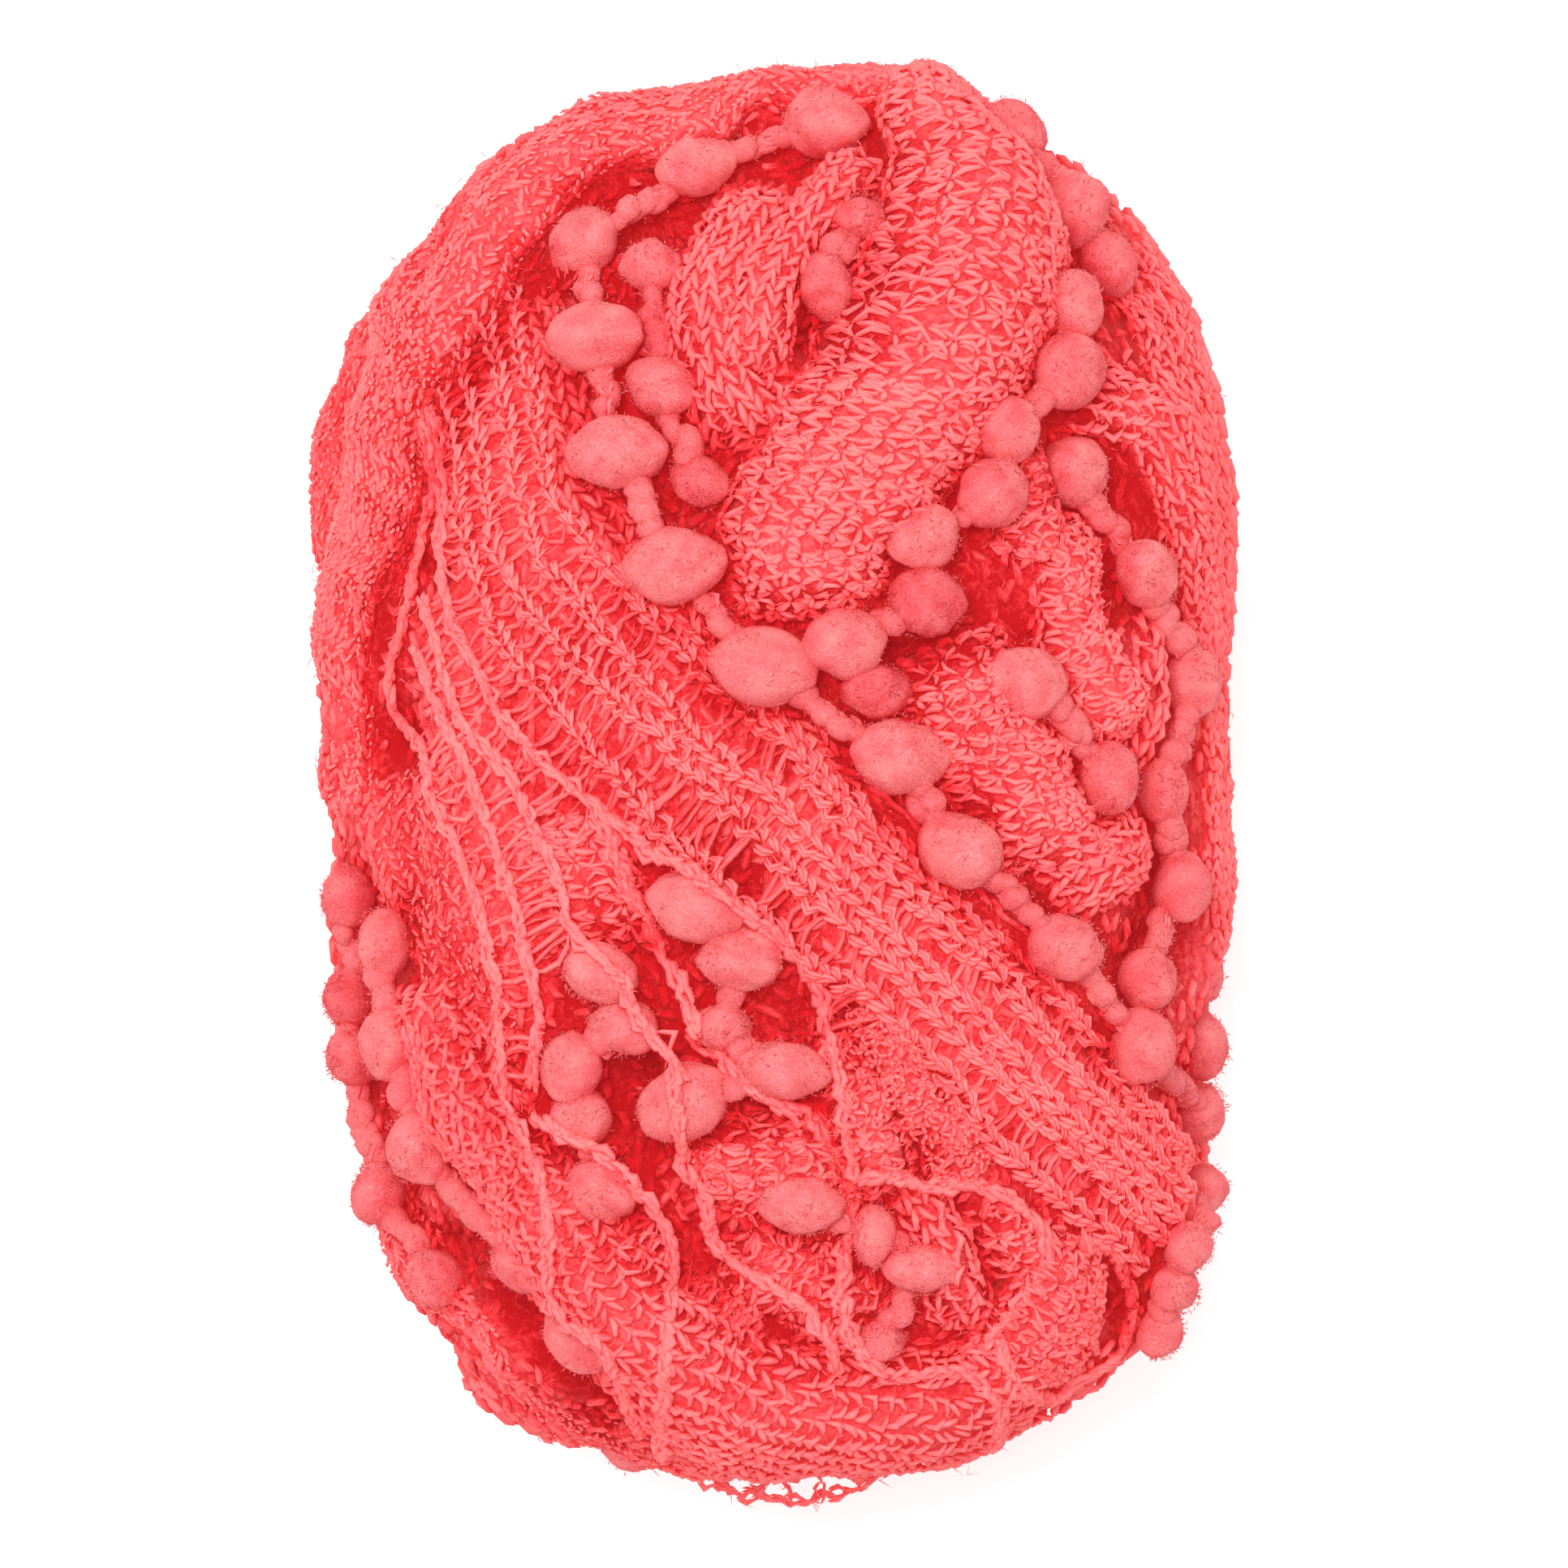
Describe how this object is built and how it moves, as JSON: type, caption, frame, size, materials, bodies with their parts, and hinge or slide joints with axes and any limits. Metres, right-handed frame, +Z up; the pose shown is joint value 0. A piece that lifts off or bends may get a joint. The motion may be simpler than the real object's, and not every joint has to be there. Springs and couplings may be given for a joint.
{
  "type": "ball of pompom yarn",
  "caption": "Oval wound ball of knitted ladder ribbon yarn edged with felted pompoms, lying on its side.",
  "frame": {"origin": "under the middle of the whole part, on the surface that the ball rests on", "axes": "+Y along the ball's long axis, away from the end with the loose ladder strip; +Z up"},
  "size_m": [0.1139, 0.1796, 0.0924],
  "materials": {
    "knitted_ribbon": "matt brushed acrylic knit with a soft halo",
    "felted_pompom": "matt felted acrylic"
  },
  "bodies": {
    "root": {"band_edge_string": "felted_pompom", "bottom_end_string": "felted_pompom", "bottom_rim_string": "felted_pompom", "centre_pair": "felted_pompom", "inner_left_string": "felted_pompom", "left_rim_string": "felted_pompom", "left_side_string": "felted_pompom", "long_edge_string": "felted_pompom", "loose_ladder_loop": "knitted_ribbon", "lower_left_string": "felted_pompom", "lower_right_string": "felted_pompom", "net_left_string": "felted_pompom", "net_low_string": "felted_pompom", "net_middle_string": "felted_pompom", "right_edge_string": "felted_pompom", "right_hanging_string": "felted_pompom", "right_rim_string": "felted_pompom", "right_side_string": "felted_pompom", "top_end_string": "felted_pompom", "tuck_string": "felted_pompom", "wound_ball": "knitted_ribbon"}
  },
  "joints": []
}
